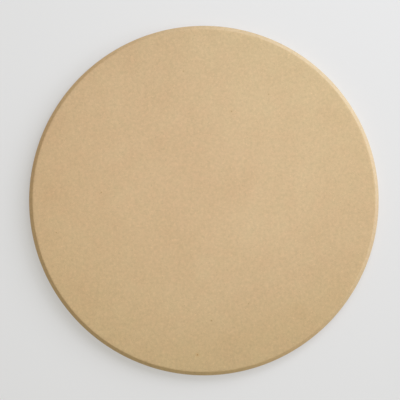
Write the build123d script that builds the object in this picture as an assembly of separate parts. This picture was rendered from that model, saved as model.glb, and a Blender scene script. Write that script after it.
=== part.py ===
"""A round pizza stone: one slab of pressed and fired cordierite, in millimetres.

The slab stands on its flat underside. The origin is the centre of the underside and +Z is up, so the
baking face is the slab's top. A clay body with coarse grog is pressed in a round die and fired in one
piece, so the slab is a single solid of revolution. Everything that the die gives it is in the half
section: a flat baking face, a broad bevel round it that lets a peel slide on, a straight wall, and a
narrower bevel that keeps the standing edge from chipping. Each corner of the section is rounded,
because a sharp arris of fired clay crumbles.
"""
import os

from build123d import *

# The slab over all: a 15 inch stone, 15 mm thick.
diameter = 381.0
thickness = 15.0

# The broad bevel between the baking face and the wall: across, seen from above, and down.
face_bevel_width = 4.0
face_bevel_drop = 4.0

# The narrow bevel between the wall and the underside.
base_bevel_width = 1.6
base_bevel_rise = 1.6

# The radii that ease the four corners of the section, from the baking face down to the underside.
face_edge_radius = 1.5
rim_edge_radius = 0.9
wall_foot_radius = 0.8
base_edge_radius = 0.8


def rim_points():
    """The corners of the rim's half section before easing, from the underside up to the baking face."""
    rim = diameter / 2
    base_flat = (rim - base_bevel_width, 0)
    wall_foot = (rim, base_bevel_rise)
    wall_head = (rim, thickness - face_bevel_drop)
    face_flat = (rim - face_bevel_width, thickness)
    return [base_flat, wall_foot, wall_head, face_flat]


def half_section():
    """The slab's half section on the XZ plane, closed along the axis."""
    underside_centre = (0, 0)
    face_centre = (0, thickness)
    outline = FilletPolyline(
        [underside_centre, *rim_points(), face_centre],
        radius=[base_edge_radius, wall_foot_radius, rim_edge_radius, face_edge_radius],
    )
    axis = Line(face_centre, underside_centre)
    return Plane.XZ * make_face(outline + axis)


def baking_stone():
    """The slab, turned from its half section."""
    return revolve(half_section(), axis=Axis.Z)


def main():
    os.makedirs("parts", exist_ok=True)
    export_step(baking_stone(), "parts/baking_stone.step")


main()
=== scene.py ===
"""A round pizza stone of unglazed cordierite, flat on a pale surface and seen from straight above.

The stone is one fired slab. Its mesh follows the slab's section ring by ring, with the unevenness of a
pressed clay body: a slow warp, a fine ripple, crumbled arrises, a few nicks, pores and iron specks. The
material adds what is finer than the mesh: sand, grog, pin pores and the clouds that the kiln leaves. Its
colour also holds painted light: a paler painted sheen towards the lamps and painted shade towards the rim.
"""
import math
import random

import bpy
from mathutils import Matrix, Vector, kdtree, noise


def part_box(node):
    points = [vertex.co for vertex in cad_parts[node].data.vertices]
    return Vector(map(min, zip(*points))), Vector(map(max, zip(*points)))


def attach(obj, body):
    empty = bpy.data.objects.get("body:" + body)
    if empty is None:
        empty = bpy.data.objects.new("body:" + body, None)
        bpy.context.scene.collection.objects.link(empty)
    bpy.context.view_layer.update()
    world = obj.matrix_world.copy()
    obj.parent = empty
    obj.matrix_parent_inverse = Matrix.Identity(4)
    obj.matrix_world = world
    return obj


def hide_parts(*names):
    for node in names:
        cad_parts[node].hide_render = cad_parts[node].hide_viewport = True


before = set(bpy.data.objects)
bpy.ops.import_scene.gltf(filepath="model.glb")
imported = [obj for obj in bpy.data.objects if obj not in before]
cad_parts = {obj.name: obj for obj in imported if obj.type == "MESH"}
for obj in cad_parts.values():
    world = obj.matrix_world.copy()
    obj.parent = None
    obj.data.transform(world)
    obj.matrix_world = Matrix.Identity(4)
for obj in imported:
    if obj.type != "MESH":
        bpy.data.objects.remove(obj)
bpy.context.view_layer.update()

MM = 0.001

# The slab over all comes from the frame, a hair inside its box. The section's sizes are the slab's own.
stone_low, stone_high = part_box("baking_stone")
BOX_INSET = 0.01 * MM
RADIUS = min(stone_high.x, stone_high.y, -stone_low.x, -stone_low.y) - BOX_INSET
THICKNESS = stone_high.z - BOX_INSET
FACE_BEVEL = 4.0 * MM
BASE_BEVEL = 1.6 * MM
FACE_EDGE_RADIUS = 1.5 * MM
RIM_EDGE_RADIUS = 0.9 * MM
WALL_FOOT_RADIUS = 0.8 * MM
BASE_EDGE_RADIUS = 0.8 * MM

# How much each corner of the section crumbles and wears, from 0 to 1, and from where on it can be nicked.
FACE_EDGE_SHARPNESS = 0.3
RIM_EDGE_SHARPNESS = 1.0
WALL_FOOT_SHARPNESS = 1.0
BASE_EDGE_SHARPNESS = 0.8
NICKED_SHARPNESS = 0.5

# The mesh: how far apart its points are on each stretch of the section.
RIM_SEGMENTS = 1280
RIM_CELL = math.tau * RADIUS / RIM_SEGMENTS
FACE_CELL = 1.9 * MM
UNDERSIDE_CELL = 3.6 * MM
ARC_STEPS = 5

# How far the die's upper half, which pressed the baking face, sat off the lower half.
DIE_OFFSET = Vector((0.17 * MM, 0.11 * MM, 0))

# The unevenness that the mesh carries: how deep it goes, how wide its waves are, and its octaves.
WARP_DEPTH, WARP_SIZE, WARP_OCTAVES = 0.16 * MM, 130 * MM, 1
RIPPLE_DEPTH, RIPPLE_SIZE, RIPPLE_OCTAVES = 0.05 * MM, 9 * MM, 3
CRUMBLE_DEPTH, CRUMBLE_SIZE, CRUMBLE_OCTAVES = 0.22 * MM, 3.5 * MM, 3
OCTAVE_FALL, OCTAVE_STEP = 1.0, 2.0

# Bites out of the arrises: how many, how wide, and how deep each is as a share of its width.
NICKS = 14
NICK_SIZE = (1.2 * MM, 2.6 * MM)
NICK_DEPTH_SHARE = 0.22

# Pores: how many lie on each part, how wide they are, and the shape of one as shares of its width.
PORES = {"face": 46, "rim": 70, "underside": 60}
PORE_SIZE = (0.5 * MM, 1.1 * MM)
PORE_DEPTH_SHARE = 0.35
PORE_SIDES = 8
PORE_CELL_SHARE, PORE_COLLAR_SHARE = 0.38, 1.15
PORE_RAGGEDNESS = (0.85, 1.1)
PORE_WALL_SHARE, PORE_WALL_DEPTH_SHARE = 0.66, 0.7
SEED = 15

# The map that the pattern is laid out on, 1 each way: the baking face as a large disc, the underside as a
# smaller one, and the wall in strips. A bevel lies round its disc, spread outwards by a share of its drop.
MAP_MARGIN = 0.006
FACE_MAP_RADIUS, UNDERSIDE_MAP_RADIUS = 0.37, 0.203
WALL_STRIPS, WALL_STRIP_PITCH = 5, 0.03
WALL_TILT = 0.3
BEVEL_SPREAD = math.tan(math.radians(22.5))

# The photograph's frame, in its pixels: the middle of the picture, and the stone's outline in it.
PHOTO_SIDE = 400
PHOTO_MIDDLE = (199.5, 199.5)
PHOTO_STONE_CENTRE = (203.357, 200.055)
PHOTO_STONE_RADIUS = 174.92
METRES_PER_PIXEL = RADIUS / PHOTO_STONE_RADIUS

# Iron specks that the photograph shows, by pixel, with how wide each is.
IRON_SPECKS = [
    ((197, 354), 1.15 * MM),
    ((101, 192), 0.92 * MM),
    ((211, 320), 1.0 * MM),
    ((231, 111), 0.85 * MM),
    ((248, 303), 0.7 * MM),
    ((183, 71), 0.7 * MM),
    ((268, 94), 0.78 * MM),
    ((56, 232), 0.78 * MM),
]
IRON_DEPTH_SHARE = 0.1
IRON_CORE_SHARES, IRON_HALO_SHARES, IRON_HALO = (0.2, 0.62), (0.3, 1.5), 0.38

# The rust that spread round the largest speck: its pixel, its radius in pixels and how strong it is.
RUST_STAIN = ((197, 354), 2.8, 0.55)

# The clay's colours, as the share of light that it sends back. Its colour holds painted light: it is paler
# towards the lamps' side, a painted sheen, and more golden on the other side and towards the rim, painted
# shade. It is also more golden at one end of the face, and greener at that end and towards two sides. Where
# it is darker it is redder and more golden.
CLAY_GOLDEN = (0.648, 0.4475, 0.2285)
CLAY_PALE = (0.648, 0.4715, 0.276)
PAINTED_SHEEN_AZIMUTH, PAINTED_SHEEN_SHARES, PAINTED_SHADE_GOLDEN_RIM = 55.0, (0.3, 0.7), 0.275
PALE_FROM_CLOUDS = 3.75
TINT_RED, TINT_GREEN = (1.028, 0.98, 0.996), (0.972, 1.02, 1.004)
GREEN_ENDS_AZIMUTH, GREEN_ENDS = 57.6, 0.48
GREEN_SIDE_AZIMUTH, GREEN_SIDE = 0.0, 0.125
GOLDEN_END_AZIMUTH, GOLDEN_END_REACH = 297.0, (0.55, 0.9)
GOLDEN_END, GOLDEN_END_GREEN = 0.19, 0.21
# Painted light on the bevel and wall: a cool pale painted sheen towards the lamps, a golden painted shade
# opposite.
RIM_LIT_SIDE_AZIMUTH, RIM_LIT_SIDE_REACH = 31.0, (-0.2, 1.0)
RIM_PAINTED_SHADE_TINT, RIM_PAINTED_SHEEN_TINT = (1.0, 0.975, 0.91), (0.965, 1.01, 1.14)
NO_TINT = (1.0, 1.0, 1.0)
HUE_SIZE, HUE_SHARE, HUE_FROM_CLOUDS, HUE_MIDDLE = 15.0, 0.425, 5.0, 0.545
IRON, RUST = (0.31, 0.155, 0.02), (0.66, 0.385, 0.155)
ROUGHNESS, IRON_ROUGHNESS_LOSS = 0.7, 0.2
ROUGHNESS_SIZE, ROUGHNESS_SWING = 1.1, 0.12
SPECULAR = 0.6

# The clay's pattern: its waves in mm, how much paler or darker they make it, and the detail and roughness
# of their noise.
SAND_SIZE, SAND_STRENGTH, SAND_DETAIL = 0.55, 0.25, (4.0, 0.8)
GRIT_SIZE, GRIT_STRENGTH, GRIT_DETAIL = 2.3, 0.145, (3.0, 0.6)
MOTTLE_SIZE, MOTTLE_STRENGTH, MOTTLE_DETAIL = 3.8, 0.114, (3.0, 0.65)
CLOUD_SIZE, CLOUD_STRENGTH, CLOUD_DETAIL = 34.0, 0.046, (4.0, 0.5)
PLAIN_DETAIL, SHIFT_DETAIL = (2.0, 0.5), (3.0, 0.5)
CLOUD_DRIFT_SIZE, CLOUD_DRIFT = 22.0, 22.0
# Painted shade: darker towards the rim, and more so on two sides, where the light falls off.
PAINTED_RIM_SHADE = -0.026
PAINTED_SIDE_SHADE, PAINTED_SIDE_SHADE_AZIMUTH = -0.0675, 113.0
GRAIN_NARROWEST = 0.4
GROG_SIZE, GROG_REACH, GROG_STRENGTH = 1.5, (0.2, 0.36), 0.4
PIN_SIZE, PIN_REACH, PIN_SHARE, PIN_STRENGTH = 2.2, (0.06, 0.17), 0.35, 0.36
SPECK_SIZE, SPECK_REACH, SPECK_SHARE = 7.0, (0.02, 0.062), 0.45
GRAIN_RAGGED_SIZE, GRAIN_RAGGEDNESS = 0.45, 0.45
WEAR_SIZE, WEAR_STRENGTH, WEAR_DETAIL = 2.2, 0.16, (3.0, 0.5)
HOLLOW_STRENGTH = 0.15

# How high or deep each part of the pattern stands, in mm.
SAND_HEIGHT, GRIT_HEIGHT, GROG_HEIGHT, PIN_DEPTH = 0.08, 0.05, 0.05, 0.12
DRAG_SIZE, DRAG_STRETCH, DRAG_DETAIL = 0.8, 7.0, (3.0, 0.5)
DRAG_HEIGHT, DRAG_STRENGTH = 0.06, 0.1
SHELF_SIZE, SHELF_DETAIL = 1.4, (4.0, 0.6)
SHELF_HEIGHT, SHELF_STRENGTH = 0.14, 0.12

# Where each side of the slab starts and is whole, by how far a surface is turned up: 1 on the baking face,
# 0 on the wall and -1 on the underside.
OFF_FACE = (0.98, 0.85)
OFF_UNDERSIDE = (-0.7, -0.3)
WALL = (0.6, 0.2)
UNDERSIDE = (-0.8, -0.95)

# The kiln's clouds by pixel of the photograph, with radius in pixels and how much paler or darker.
KILN_CLOUDS = [
    ((132, 58), 22, -0.018),
    ((162, 98), 36, -0.03),
    ((178, 138), 42, -0.027),
    ((204, 170), 36, -0.035),
    ((238, 186), 30, -0.03),
    ((212, 208), 28, -0.014),
    ((174, 236), 28, -0.022),
    ((262, 230), 38, 0.024),
    ((204, 266), 20, 0.026),
    ((172, 298), 34, 0.024),
    ((113, 253), 30, 0.019),
    ((112, 100), 40, 0.019),
    ((300, 165), 40, 0.014),
    ((334, 118), 24, -0.019),
    ((340, 166), 22, 0.014),
    ((294, 308), 14, -0.027),
    ((52, 192), 20, -0.03),
    ((50, 236), 20, -0.019),
    ((75, 285), 22, -0.018),
    ((232, 350), 26, -0.033),
    ((285, 362), 45, -0.009),
]

# Pale grains that the photograph shows, with radius in pixels and how much paler.
PALE_GRAINS = [
    ((172, 240), 1.8, 0.12),
    ((174.5, 239), 1.8, 0.12),
    ((271, 95), 1.6, 0.12),
    ((295, 240), 1.6, 0.12),
    ((120, 104), 1.6, 0.1),
    ((311, 93), 1.6, 0.1),
]

# The lamps, each a soft rectangle: azimuth from +X, elevation, distance, width and height, power and colour.
KEY = (23.0, 29.0, 3.4, (4.4, 1.8), 95.0, (0.965, 1.0, 1.115))
SOFTBOX = (63.0, 56.0, 1.0, (0.6, 0.6), 3.5, (0.965, 1.0, 1.115))

# The light from all round, and the pale background that the camera and reflections see instead.
AMBIENT, AMBIENT_COLOUR = 0.37, (1.045, 0.99, 0.83)
BACKGROUND, BACKGROUND_COLOUR = 0.85, (1.0, 1.0, 1.0)

# The floor: how far it reaches, how much of the background it shows near the stone, and from where to where
# that grows until nothing else is seen of it.
FLOOR_COLOUR = (0.72, 0.72, 0.71)
FLOOR_ROUGHNESS, FLOOR_SPECULAR = 0.9, 0.2
FLOOR_REACH = 20.0
FLOOR_LIFT, FLOOR_SWEEP = 0.45, (0.5, 2.4)

# The camera, straight above. The stone's outline is its rim, at the foot of the bevel.
CAMERA_HEIGHT = 2.0
OUTLINE_HEIGHT = THICKNESS - FACE_BEVEL
CLIP_START, CLIP_END = 0.1, 60.0


def on_stone(pixel):
    """The place on the stone, from its axis, that a pixel of the photograph shows."""
    across = pixel[0] - PHOTO_STONE_CENTRE[0]
    down = pixel[1] - PHOTO_STONE_CENTRE[1]
    return across * METRES_PER_PIXEL, -down * METRES_PER_PIXEL


class Station:
    """A point of the section, with its outward normal, its mesh cell and how sharp an edge it lies on."""

    def __init__(self, place, normal, cell, edge=0.0, part="rim"):
        self.radius, self.height = place
        self.normal = normal
        self.cell = cell
        self.edge = edge
        self.part = part


def eased_corner(before, corner, after, radius, edge):
    """Stations along the arc that eases one corner of the section."""
    incoming = (corner - before).normalized()
    outgoing = (after - corner).normalized()
    turn = incoming.angle(outgoing)
    normal = Vector((-incoming.y, incoming.x))
    centre = corner - incoming * radius * math.tan(turn / 2) - normal * radius
    stations = []
    for step in range(ARC_STEPS + 1):
        share = step / ARC_STEPS
        turned = normal * math.cos(turn * share) + incoming * math.sin(turn * share)
        sharpness = edge * math.sin(math.pi * share)
        stations.append(Station(centre + turned * radius, turned, RIM_CELL, sharpness))
    return stations


def straight_run(start, end, cell, part):
    """Stations strictly between two points of the section, about a cell apart."""
    along = end - start
    normal = Vector((-along.y, along.x)).normalized()
    count = max(1, round(along.length / cell))
    return [Station(start.lerp(end, step / count), normal, cell, part=part) for step in range(1, count)]


def section():
    """Stations down the section, from the face's centre over the rim to the underside's centre."""
    corners = [
        (Vector((RADIUS - FACE_BEVEL, THICKNESS)), FACE_EDGE_RADIUS, FACE_EDGE_SHARPNESS),
        (Vector((RADIUS, THICKNESS - FACE_BEVEL)), RIM_EDGE_RADIUS, RIM_EDGE_SHARPNESS),
        (Vector((RADIUS, BASE_BEVEL)), WALL_FOOT_RADIUS, WALL_FOOT_SHARPNESS),
        (Vector((RADIUS - BASE_BEVEL, 0)), BASE_EDGE_RADIUS, BASE_EDGE_SHARPNESS),
    ]
    face_centre, underside_centre = Vector((0, THICKNESS)), Vector((0, 0))
    path = [face_centre, *[corner for corner, _, _ in corners], underside_centre]
    runs = [(FACE_CELL, "face"), (RIM_CELL, "rim"), (RIM_CELL, "rim"), (RIM_CELL, "rim")]
    stations = [Station(face_centre, Vector((0, 1)), FACE_CELL, part="face")]
    for index, (corner, radius, edge) in enumerate(corners):
        arc = eased_corner(path[index], corner, path[index + 2], radius, edge)
        here = Vector((stations[-1].radius, stations[-1].height))
        stations += straight_run(here, Vector((arc[0].radius, arc[0].height)), *runs[index])
        stations += arc
    here = Vector((stations[-1].radius, stations[-1].height))
    stations += straight_run(here, underside_centre, UNDERSIDE_CELL, "underside")
    stations.append(Station(underside_centre, Vector((0, -1)), UNDERSIDE_CELL, part="underside"))
    return stations


def points_round(station):
    """How many points a station's ring holds, halved towards the axis so that its cells stay square."""
    if station.radius == 0:
        return 1
    halvings = round(math.log2(RIM_SEGMENTS * station.cell / (math.tau * station.radius)))
    return RIM_SEGMENTS >> max(0, halvings)


def fan(near, far, fine):
    """Triangles between one side of a coarse ring, near to far, and the finer points that face it."""
    half = len(fine) // 2
    triangles = [(near, a, b) for a, b in zip(fine[:half], fine[1:half + 1])]
    triangles.append((near, fine[half], far))
    return triangles + [(far, a, b) for a, b in zip(fine[half:], fine[half + 1:])]


def faces_between(first, n, second, m):
    """Faces from a ring of n points to the next ring of m points, further down the section."""
    if n == m:
        turned = [(i, (i + 1) % n) for i in range(n)]
        return [(first + i, second + i, second + j, first + j) for i, j in turned]
    if n > m:
        return [tuple(reversed(face)) for face in faces_between(second, m, first, n)]
    if n == 1:
        return [(first, second + i, second + (i + 1) % m) for i in range(m)]
    ratio = m // n
    made = []
    for i in range(n):
        fine = [second + (i * ratio + k) % m for k in range(ratio + 1)]
        made += fan(first + i, first + (i + 1) % n, fine)
    return made


class Surface:
    """The slab's points, with what each is like, and the faces between them."""

    def __init__(self):
        self.points, self.normals = [], []
        self.edges, self.hollows = [], []
        self.faces, self.face_parts = [], []

    def add_point(self, place, normal, edge=0.0, hollow=0.0):
        self.points.append(place)
        self.normals.append(normal)
        self.edges.append(edge)
        self.hollows.append(hollow)
        return len(self.points) - 1

    def add_ring(self, station):
        """Adds a station's ring of points and returns the first one and how many there are."""
        first, count = len(self.points), points_round(station)
        centre = DIE_OFFSET * max(0, 1 - (THICKNESS - station.height) / FACE_BEVEL)
        for step in range(count):
            angle = math.tau * step / count
            cosine, sine = math.cos(angle), math.sin(angle)
            place = Vector((station.radius * cosine, station.radius * sine, station.height))
            normal = Vector((station.normal.x * cosine, station.normal.x * sine, station.normal.y))
            self.add_point(centre + place, normal, station.edge)
        return first, count

    def middle(self, corners):
        return sum((self.points[corner] for corner in corners), Vector()) / len(corners)

    def turn(self, stations):
        """Turns the section about the axis."""
        rings = [self.add_ring(station) for station in stations]
        for index in range(len(rings) - 1):
            made = faces_between(*rings[index], *rings[index + 1])
            self.faces += made
            self.face_parts += [stations[index].part] * len(made)


def unit_noise(place, size, octaves):
    """Smooth noise from 0 to 1 with waves of about the given size."""
    swing = noise.fractal(place / size, OCTAVE_FALL, OCTAVE_STEP, octaves)
    return min(1.0, max(0.0, (1 + swing) / 2))


def unevenness(place, edge):
    """How far the pressed surface lies inside the true section at a place."""
    warp = WARP_DEPTH * unit_noise(place, WARP_SIZE, WARP_OCTAVES)
    ripple = RIPPLE_DEPTH * unit_noise(place, RIPPLE_SIZE, RIPPLE_OCTAVES)
    crumble = CRUMBLE_DEPTH * edge * unit_noise(place, CRUMBLE_SIZE, CRUMBLE_OCTAVES)
    return warp + ripple + crumble


def search_tree(places):
    tree = kdtree.KDTree(len(places))
    for index, place in enumerate(places):
        tree.insert(place, index)
    tree.balance()
    return tree


def nick_edges(surface, chooser):
    """Takes small bites out of the arrises, as handling leaves on fired clay."""
    sharp = [index for index, edge in enumerate(surface.edges) if edge > NICKED_SHARPNESS]
    tree = search_tree([surface.points[index] for index in sharp])
    for _ in range(NICKS):
        centre = sharp[chooser.randrange(len(sharp))]
        size = chooser.uniform(*NICK_SIZE)
        inward = -surface.normals[centre]
        for place, near, distance in tree.find_range(surface.points[centre], size):
            bite = size * NICK_DEPTH_SHARE * (1 - (distance / size) ** 2)
            surface.points[sharp[near]] = place + inward * bite


def sink_pore(surface, face, width, depth, chooser):
    """Replaces a four-sided face with a small round hollow in a flat collar, so it shades nothing else."""
    corners = surface.faces[face]
    places = [surface.points[corner] for corner in corners]
    centre = surface.middle(corners)
    normal = (places[2] - places[0]).cross(places[3] - places[1]).normalized()
    along = (places[0] - centre).normalized()
    across = normal.cross(along)
    shortest = min((places[i] - places[i - 1]).length for i in range(len(places)))
    radius = min(width / 2, shortest * PORE_CELL_SHARE)
    collar, lip, wall = [], [], []
    for side in range(PORE_SIDES):
        angle = math.tau * (side - 0.5) / PORE_SIDES
        reach = (along * math.cos(angle) + across * math.sin(angle)) * radius
        reach *= chooser.uniform(*PORE_RAGGEDNESS)
        collar.append(surface.add_point(centre + reach * PORE_COLLAR_SHARE, normal))
        lip.append(surface.add_point(centre + reach, normal))
        sunk = centre + reach * PORE_WALL_SHARE - normal * depth * PORE_WALL_DEPTH_SHARE
        wall.append(surface.add_point(sunk, normal, hollow=1.0))
    bottom = surface.add_point(centre - normal * depth, normal, hollow=1.0)
    made = []
    for index, corner in enumerate(corners):
        before, after = collar[2 * index], collar[2 * index + 1]
        following = collar[(2 * index + 2) % PORE_SIDES]
        made.append((corner, after, before))
        made.append((corner, corners[(index + 1) % len(corners)], following, after))
    for side in range(PORE_SIDES):
        following = (side + 1) % PORE_SIDES
        made.append((collar[side], collar[following], lip[following], lip[side]))
        made.append((lip[side], lip[following], wall[following], wall[side]))
        made.append((wall[side], wall[following], bottom))
    surface.faces[face] = made[0]
    surface.faces += made[1:]
    surface.face_parts += [surface.face_parts[face]] * (len(made) - 1)


def open_pores(surface, chooser):
    """Sinks the iron specks where the photograph shows them, and pores here and there on every side."""
    square = [face for face, corners in enumerate(surface.faces) if len(corners) == 4]
    tree = search_tree([surface.middle(surface.faces[face]) for face in square])
    taken = set()
    for pixel, width in IRON_SPECKS:
        _, nearest, _ = tree.find((*on_stone(pixel), THICKNESS))
        taken.add(square[nearest])
        sink_pore(surface, square[nearest], width, width * IRON_DEPTH_SHARE, chooser)
    for part, count in PORES.items():
        choice = [face for face in square if surface.face_parts[face] == part and face not in taken]
        for face in chooser.sample(choice, count):
            width = chooser.uniform(*PORE_SIZE)
            sink_pore(surface, face, width, width * PORE_DEPTH_SHARE, chooser)


def place_on_map(place, middle, tilt):
    """Where a corner of a face lies on the map, from the face's middle and how far the face is turned up."""
    scale = FACE_MAP_RADIUS / (RADIUS + FACE_BEVEL * BEVEL_SPREAD)
    if abs(tilt) < WALL_TILT:
        turn = math.atan2(middle.y, middle.x) % math.tau
        strip = int(turn / math.tau * WALL_STRIPS)
        past = Vector((middle.x, middle.y)).angle_signed(Vector((place.x, place.y)))
        along = (turn - strip * math.tau / WALL_STRIPS - past) * RADIUS
        return MAP_MARGIN + along * scale, 1 - (strip + 1) * WALL_STRIP_PITCH + place.z * scale
    from_axis = math.hypot(place.x, place.y)
    if tilt > 0:
        centre, drop, across = MAP_MARGIN + FACE_MAP_RADIUS, THICKNESS - place.z, 1
    else:
        scale *= UNDERSIDE_MAP_RADIUS / FACE_MAP_RADIUS
        centre, drop, across = 1 - MAP_MARGIN - UNDERSIDE_MAP_RADIUS, place.z, -1
    spread = scale * (1 + drop * BEVEL_SPREAD / from_axis) if from_axis else scale
    return centre + place.x * spread * across, centre + place.y * spread


def lay_out(surface):
    """Every corner's place on the slab's map, face by face, as one list."""
    laid = []
    for corners in surface.faces:
        middle = surface.middle(corners)
        tilt = sum(surface.normals[corner].z for corner in corners) / len(corners)
        for corner in corners:
            laid += place_on_map(surface.points[corner], middle, tilt)
    return laid


def build_stone():
    """The slab as one closed mesh, with what its material reads kept on its points."""
    chooser = random.Random(SEED)
    surface = Surface()
    surface.turn(section())
    for index, place in enumerate(surface.points):
        depth = unevenness(place, surface.edges[index])
        surface.points[index] = place - surface.normals[index] * depth
    nick_edges(surface, chooser)
    open_pores(surface, chooser)
    mesh = bpy.data.meshes.new("stone")
    mesh.from_pydata(surface.points, [], surface.faces)
    for name, values in (("edge", surface.edges), ("hollow", surface.hollows)):
        mesh.attributes.new(name, "FLOAT", "POINT").data.foreach_set("value", values)
    mesh.uv_layers.new(name="OFBake").data.foreach_set("uv", lay_out(surface))
    mesh.shade_smooth()
    stone = bpy.data.objects.new("stone", mesh)
    bpy.context.scene.collection.objects.link(stone)
    return stone


def add(tree, kind, inputs, **settings):
    """Adds a shader node and returns its outputs. An input is a value or the output that it is linked to."""
    made = tree.nodes.new(kind)
    for name, value in settings.items():
        setattr(made, name, value)
    for name, value in inputs.items():
        if isinstance(value, bpy.types.NodeSocket):
            tree.links.new(value, made.inputs[name])
        else:
            made.inputs[name].default_value = value
    return made.outputs


def calculate(tree, operation, a, b=0.0):
    return add(tree, "ShaderNodeMath", {0: a, 1: b}, operation=operation)[0]


def total(tree, parts):
    result = parts[0]
    for part in parts[1:]:
        result = calculate(tree, "ADD", result, part)
    return result


def mapped(tree, value, source, target, interpolation="LINEAR"):
    inputs = {0: value, 1: source[0], 2: source[1], 3: target[0], 4: target[1]}
    return add(tree, "ShaderNodeMapRange", inputs, interpolation_type=interpolation)[0]


def noise_texture(tree, place, size, detail):
    """Noise from 0 to 1 with waves of about the given size in mm, and its detail and roughness."""
    inputs = {"Vector": place, "Scale": 1 / size, "Detail": detail[0], "Roughness": detail[1]}
    return add(tree, "ShaderNodeTexNoise", inputs)


def noise_about_zero(tree, place, size, strength, detail=PLAIN_DETAIL):
    """Noise with waves of about the given size in mm, between minus and plus its strength."""
    return mapped(tree, noise_texture(tree, place, size, detail)["Fac"], (0.0, 1.0), (-strength, strength))


def scaled(tree, value, amount):
    return calculate(tree, "MULTIPLY", value, amount)


def shifted(tree, place, size, reach):
    """A place moved by noise with waves of about a size, by up to about half the reach, all in mm."""
    shift = noise_texture(tree, place, size, SHIFT_DETAIL)["Color"]
    shift = add(tree, "ShaderNodeVectorMath", {0: shift, 1: (0.5, 0.5, 0.5)}, operation="SUBTRACT")["Vector"]
    shift = add(tree, "ShaderNodeVectorMath", {0: shift, "Scale": reach}, operation="SCALE")["Vector"]
    return add(tree, "ShaderNodeVectorMath", {0: place, 1: shift}, operation="ADD")["Vector"]


def grains(tree, place, size, reach, share=1.0):
    """Grains about a size apart in mm, of which a share is there: their cover and each one's own value.

    Reach is how far from its middle the widest grain is whole, and where it ends, as shares of the size.
    """
    cells = add(tree, "ShaderNodeTexVoronoi", {"Vector": place, "Scale": 1 / size})
    own, width, chance = add(tree, "ShaderNodeSeparateColor", {0: cells["Color"]})
    width = mapped(tree, width, (0.0, 1.0), (GRAIN_NARROWEST, 1.0))
    distance = calculate(tree, "DIVIDE", cells["Distance"], width)
    cover = mapped(tree, distance, (reach[1], reach[0]), (0.0, 1.0), "SMOOTHSTEP")
    return scaled(tree, cover, calculate(tree, "LESS_THAN", chance, share)), own


def distance_from(tree, place, pixel):
    """How far a place is, in mm, from the place on the baking face that a pixel of the photograph shows."""
    x, y = on_stone(pixel)
    centre = (x / MM, y / MM, THICKNESS / MM)
    return add(tree, "ShaderNodeVectorMath", {0: place, 1: centre}, operation="DISTANCE")["Value"]


def soft_patch(tree, place, pixel, radius, strength):
    """A soft patch on the baking face, with its radius in pixels of the photograph."""
    distance = distance_from(tree, place, pixel)
    return mapped(tree, distance, (radius * METRES_PER_PIXEL / MM, 0.0), (0.0, strength), "SMOOTHSTEP")


def iron_stain(tree, place, pixel, width):
    """A speck of iron on the baking face: a dark core with a faint rusty halo."""
    distance = distance_from(tree, place, pixel)
    core_near, core_far = (share * width / MM for share in IRON_CORE_SHARES)
    halo_near, halo_far = (share * width / MM for share in IRON_HALO_SHARES)
    core = mapped(tree, distance, (core_far, core_near), (0.0, 1.0), "SMOOTHSTEP")
    halo = mapped(tree, distance, (halo_far, halo_near), (0.0, IRON_HALO), "SMOOTHSTEP")
    return calculate(tree, "MAXIMUM", core, halo)


def attribute(tree, name):
    return add(tree, "ShaderNodeAttribute", {}, attribute_name=name)["Fac"]


def towards(tree, place, azimuth):
    """How far a place lies from the stone's axis towards an azimuth, as a share of the radius."""
    turn = math.radians(azimuth)
    direction = Vector((math.cos(turn), math.sin(turn), 0)) * MM / RADIUS
    return add(tree, "ShaderNodeVectorMath", {0: place, 1: direction}, operation="DOT_PRODUCT")["Value"]


def squared(tree, value):
    return calculate(tree, "MULTIPLY", value, value)


def rimward(tree, place):
    """How far a place lies from the stone's axis, as a share of the radius, squared."""
    return total(tree, [squared(tree, towards(tree, place, azimuth)) for azimuth in (0.0, 90.0)])


def painted_rim_shade(tree, place):
    """Painted shade: how much darker the clay is towards the rim, and more so on two sides, where the light
    falls off.
    """
    shade = scaled(tree, rimward(tree, place), PAINTED_RIM_SHADE)
    sides = squared(tree, towards(tree, place, PAINTED_SIDE_SHADE_AZIMUTH))
    return calculate(tree, "ADD", shade, scaled(tree, sides, PAINTED_SIDE_SHADE))


def kiln_clouds(tree, place):
    """The soft clouds that the kiln left, which wander: how much paler each makes the clay."""
    wandering = shifted(tree, place, CLOUD_DRIFT_SIZE, CLOUD_DRIFT)
    clouds = [soft_patch(tree, wandering, *cloud) for cloud in KILN_CLOUDS]
    clouds.append(noise_about_zero(tree, place, CLOUD_SIZE, CLOUD_STRENGTH, CLOUD_DETAIL))
    return total(tree, clouds)


def painted_rim_light(tree, place, upward):
    """Painted light on the bevel and the wall: a pale, cool painted sheen on the side towards the lamps, and
    a golden painted shade on the other side.
    """
    side = mapped(tree, towards(tree, place, RIM_LIT_SIDE_AZIMUTH), RIM_LIT_SIDE_REACH, (0.0, 1.0))
    tint = mixed(tree, side, RIM_PAINTED_SHADE_TINT, RIM_PAINTED_SHEEN_TINT)
    off_face = mapped(tree, upward, OFF_FACE, (0.0, 1.0), "SMOOTHSTEP")
    off_underside = mapped(tree, upward, OFF_UNDERSIDE, (0.0, 1.0), "SMOOTHSTEP")
    return mixed(tree, scaled(tree, off_face, off_underside), NO_TINT, tint)


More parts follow.
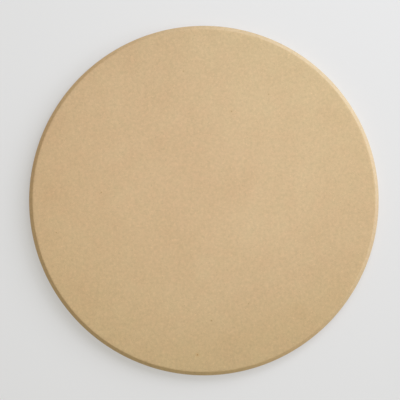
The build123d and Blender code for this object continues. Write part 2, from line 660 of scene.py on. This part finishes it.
def clay_hue(tree, place, upward, clouds):
    """The clay's colour before its grain: from golden to pale, and from greener to redder."""
    # Painted sheen: paler towards the lamps' side. Painted shade: more golden on the other side and towards
    # the rim.
    pale = mapped(tree, towards(tree, place, PAINTED_SHEEN_AZIMUTH), (-1.0, 1.0), PAINTED_SHEEN_SHARES)
    pale = calculate(tree, "SUBTRACT", pale, scaled(tree, rimward(tree, place), PAINTED_SHADE_GOLDEN_RIM))
    golden_end = towards(tree, place, GOLDEN_END_AZIMUTH)
    golden_end = mapped(tree, golden_end, GOLDEN_END_REACH, (0.0, 1.0), "SMOOTHSTEP")
    pale = calculate(tree, "SUBTRACT", pale, scaled(tree, golden_end, GOLDEN_END))
    pale = calculate(tree, "ADD", pale, scaled(tree, clouds, PALE_FROM_CLOUDS))
    ends = squared(tree, towards(tree, place, GREEN_ENDS_AZIMUTH))
    redness = total(tree, [
        noise_about_zero(tree, place, HUE_SIZE, HUE_SHARE),
        scaled(tree, clouds, -HUE_FROM_CLOUDS),
        scaled(tree, ends, -GREEN_ENDS),
        scaled(tree, golden_end, -GOLDEN_END_GREEN),
        scaled(tree, towards(tree, place, GREEN_SIDE_AZIMUTH), -GREEN_SIDE),
    ])
    tint = mixed(tree, calculate(tree, "ADD", redness, HUE_MIDDLE), TINT_GREEN, TINT_RED)
    clay = mixed(tree, pale, CLAY_GOLDEN, CLAY_PALE)
    # The second tint is the bevel's painted sheen and painted shade.
    for tint in (tint, painted_rim_light(tree, place, upward)):
        clay = add(tree, "ShaderNodeVectorMath", {0: clay, 1: tint}, operation="MULTIPLY")["Vector"]
    return clay


def clay_grain(tree, place, ragged, upward):
    """The clay's grain, from patches down to sand: how much paler it makes the clay, and its height in mm."""
    mottle = noise_about_zero(tree, place, MOTTLE_SIZE, MOTTLE_STRENGTH, MOTTLE_DETAIL)
    grit = noise_about_zero(tree, place, GRIT_SIZE, GRIT_STRENGTH, GRIT_DETAIL)
    sand = noise_about_zero(tree, place, SAND_SIZE, SAND_STRENGTH, SAND_DETAIL)
    grog_cover, grog_own = grains(tree, ragged, GROG_SIZE, GROG_REACH)
    grog = scaled(tree, grog_cover, calculate(tree, "SUBTRACT", grog_own, 0.5))
    pins, _ = grains(tree, ragged, PIN_SIZE, PIN_REACH, PIN_SHARE)

    # The die drags the wall upwards, and the kiln's shelf leaves the underside coarser.
    wall = mapped(tree, calculate(tree, "ABSOLUTE", upward), WALL, (0.0, 1.0), "SMOOTHSTEP")
    under = mapped(tree, upward, UNDERSIDE, (0.0, 1.0), "SMOOTHSTEP")
    upright = add(tree, "ShaderNodeVectorMath", {0: place, 1: (1, 1, 1 / DRAG_STRETCH)}, operation="MULTIPLY")
    drag = scaled(tree, noise_about_zero(tree, upright["Vector"], DRAG_SIZE, 1.0, DRAG_DETAIL), wall)
    shelf = scaled(tree, noise_about_zero(tree, place, SHELF_SIZE, 1.0, SHELF_DETAIL), under)
    tone = total(tree, [
        mottle, grit, sand,
        scaled(tree, grog, GROG_STRENGTH),
        scaled(tree, pins, -PIN_STRENGTH),
        scaled(tree, drag, DRAG_STRENGTH),
        scaled(tree, shelf, SHELF_STRENGTH),
    ])
    height = total(tree, [
        scaled(tree, sand, SAND_HEIGHT / SAND_STRENGTH),
        scaled(tree, grit, GRIT_HEIGHT / GRIT_STRENGTH),
        scaled(tree, grog, GROG_HEIGHT),
        scaled(tree, pins, -PIN_DEPTH),
        scaled(tree, drag, DRAG_HEIGHT),
        scaled(tree, shelf, SHELF_HEIGHT),
    ])
    return tone, height


def worn_arrises_dark_pores(tree, place):
    """How much paler the clay is on its arrises, and how much darker in its pores."""
    patchy = noise_texture(tree, place, WEAR_SIZE, WEAR_DETAIL)["Fac"]
    worn = scaled(tree, scaled(tree, attribute(tree, "edge"), patchy), WEAR_STRENGTH)
    return calculate(tree, "ADD", worn, scaled(tree, attribute(tree, "hollow"), -HOLLOW_STRENGTH))


def mixed(tree, factor, first, second):
    """A colour between two, each a colour's three numbers or an output."""
    first, second = (colour if isinstance(colour, bpy.types.NodeSocket) else (*colour, 1.0)
                     for colour in (first, second))
    return add(tree, "ShaderNodeMix", {"Factor": factor, 6: first, 7: second}, data_type="RGBA")[2]


def fired_cordierite():
    """Unglazed fired clay: tan, matt and sandy, with grog, pin pores, iron and clouds from the kiln."""
    material = bpy.data.materials.new("fired_cordierite")
    material.use_nodes = True
    tree = material.node_tree
    shader = tree.nodes["Principled BSDF"]
    spot = add(tree, "ShaderNodeTexCoord", {})
    place = add(tree, "ShaderNodeVectorMath", {0: spot["Object"], "Scale": 1 / MM}, operation="SCALE")[0]
    upward = add(tree, "ShaderNodeSeparateXYZ", {0: spot["Normal"]})["Z"]
    ragged = shifted(tree, place, GRAIN_RAGGED_SIZE, GRAIN_RAGGEDNESS)

    clouds = kiln_clouds(tree, place)
    pale_grains = [soft_patch(tree, place, *grain) for grain in PALE_GRAINS]
    grain, height = clay_grain(tree, place, ragged, upward)
    # The tone holds painted shade towards the rim and on two sides.
    tone = total(tree, [clouds, *pale_grains, painted_rim_shade(tree, place), grain, worn_arrises_dark_pores(tree, place)])
    tone = calculate(tree, "ADD", tone, 1.0)
    clay = clay_hue(tree, place, upward, clouds)
    clay = add(tree, "ShaderNodeVectorMath", {0: clay, "Scale": tone}, operation="SCALE")["Vector"]
    clay = mixed(tree, soft_patch(tree, ragged, *RUST_STAIN), clay, RUST)

    speck, speck_own = grains(tree, ragged, SPECK_SIZE, SPECK_REACH, SPECK_SHARE)
    iron = scaled(tree, speck, speck_own)
    for pixel, width in IRON_SPECKS:
        iron = calculate(tree, "MAXIMUM", iron, iron_stain(tree, ragged, pixel, width))
    tree.links.new(mixed(tree, iron, clay, IRON), shader.inputs["Base Color"])

    rough = noise_about_zero(tree, place, ROUGHNESS_SIZE, ROUGHNESS_SWING)
    rough = calculate(tree, "ADD", rough, ROUGHNESS)
    rough = calculate(tree, "SUBTRACT", rough, scaled(tree, iron, IRON_ROUGHNESS_LOSS))
    tree.links.new(rough, shader.inputs["Roughness"])
    bump = add(tree, "ShaderNodeBump", {"Height": height, "Distance": MM, "Strength": 1.0})["Normal"]
    tree.links.new(bump, shader.inputs["Normal"])
    shader.inputs["Specular IOR Level"].default_value = SPECULAR
    return material


def seen_plainly(tree):
    """1 for a ray from the camera, and for one that mirrors or passes through; 0 for scattered light."""
    ray = add(tree, "ShaderNodeLightPath", {})
    return total(tree, [ray[f"Is {kind} Ray"] for kind in ("Camera", "Glossy", "Transmission")])


def floor_surface():
    """The floor's plain pale material, which blends into the background far from the stone."""
    material = bpy.data.materials.new("floor")
    material.use_nodes = True
    tree = material.node_tree
    shader = tree.nodes["Principled BSDF"]
    shader.inputs["Base Color"].default_value = (*FLOOR_COLOUR, 1.0)
    shader.inputs["Roughness"].default_value = FLOOR_ROUGHNESS
    shader.inputs["Specular IOR Level"].default_value = FLOOR_SPECULAR
    place = add(tree, "ShaderNodeTexCoord", {})["Object"]
    far = add(tree, "ShaderNodeVectorMath", {0: place}, operation="LENGTH")["Value"]
    lift = mapped(tree, far, FLOOR_SWEEP, (FLOOR_LIFT, 1.0), "SMOOTHSTEP")
    lift = scaled(tree, lift, seen_plainly(tree))
    pale = add(tree, "ShaderNodeEmission", {"Color": (*BACKGROUND_COLOUR, 1.0), "Strength": BACKGROUND})[0]
    surface = add(tree, "ShaderNodeMixShader", {0: lift, 1: shader.outputs["BSDF"], 2: pale})[0]
    tree.links.new(surface, tree.nodes["Material Output"].inputs["Surface"])
    return material


def lay_floor():
    """The plain pale surface that the stone lies on."""
    mesh = bpy.data.meshes.new("floor")
    corners = [(-1, -1), (1, -1), (1, 1), (-1, 1)]
    mesh.from_pydata([(x * FLOOR_REACH, y * FLOOR_REACH, 0) for x, y in corners], [], [(0, 1, 2, 3)])
    mesh.materials.append(floor_surface())
    floor = bpy.data.objects.new("floor", mesh)
    bpy.context.scene.collection.objects.link(floor)


def hang_lamp(name, azimuth, elevation, distance, size, power, colour):
    """A soft lamp that faces the stone. Azimuth runs anticlockwise from +X, seen from above."""
    turn, rise = math.radians(azimuth), math.radians(elevation)
    away = Vector((math.cos(turn) * math.cos(rise), math.sin(turn) * math.cos(rise), math.sin(rise)))
    lamp = bpy.data.objects.new(name, bpy.data.lights.new(name, "AREA"))
    lamp.data.shape = "RECTANGLE"
    lamp.data.size, lamp.data.size_y = size
    lamp.data.energy = power
    lamp.data.color = colour
    lamp.location = away * distance
    lamp.rotation_mode = "QUATERNION"
    lamp.rotation_quaternion = away.to_track_quat("Z", "Y")
    lamp.visible_camera = False
    bpy.context.scene.collection.objects.link(lamp)


def light_world():
    """An even light from all round, which the camera and reflections see as a pale background."""
    world = bpy.data.worlds.new("world")
    world.use_nodes = True
    tree = world.node_tree
    plainly = seen_plainly(tree)
    strength = mapped(tree, plainly, (0.0, 1.0), (AMBIENT, BACKGROUND))
    colour = mixed(tree, plainly, AMBIENT_COLOUR, BACKGROUND_COLOUR)
    background = tree.nodes["Background"]
    tree.links.new(strength, background.inputs["Strength"])
    tree.links.new(colour, background.inputs["Color"])
    bpy.context.scene.world = world


def set_camera():
    """The camera straight above, with the stone as large and as far from the middle as in the photograph."""
    camera = bpy.data.objects.new("camera", bpy.data.cameras.new("camera"))
    bpy.context.scene.collection.objects.link(camera)
    camera.location = (*on_stone(PHOTO_MIDDLE), CAMERA_HEIGHT)
    seen = PHOTO_SIDE * METRES_PER_PIXEL
    camera.data.lens = camera.data.sensor_width * (CAMERA_HEIGHT - OUTLINE_HEIGHT) / seen
    camera.data.clip_start, camera.data.clip_end = CLIP_START, CLIP_END
    bpy.context.scene.camera = camera


stone = build_stone()
stone.data.materials.append(fired_cordierite())
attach(stone, "root")
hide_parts("baking_stone")
lay_floor()
hang_lamp("key", *KEY)
hang_lamp("softbox", *SOFTBOX)
light_world()
set_camera()
bpy.context.scene.view_settings.view_transform = "Standard"
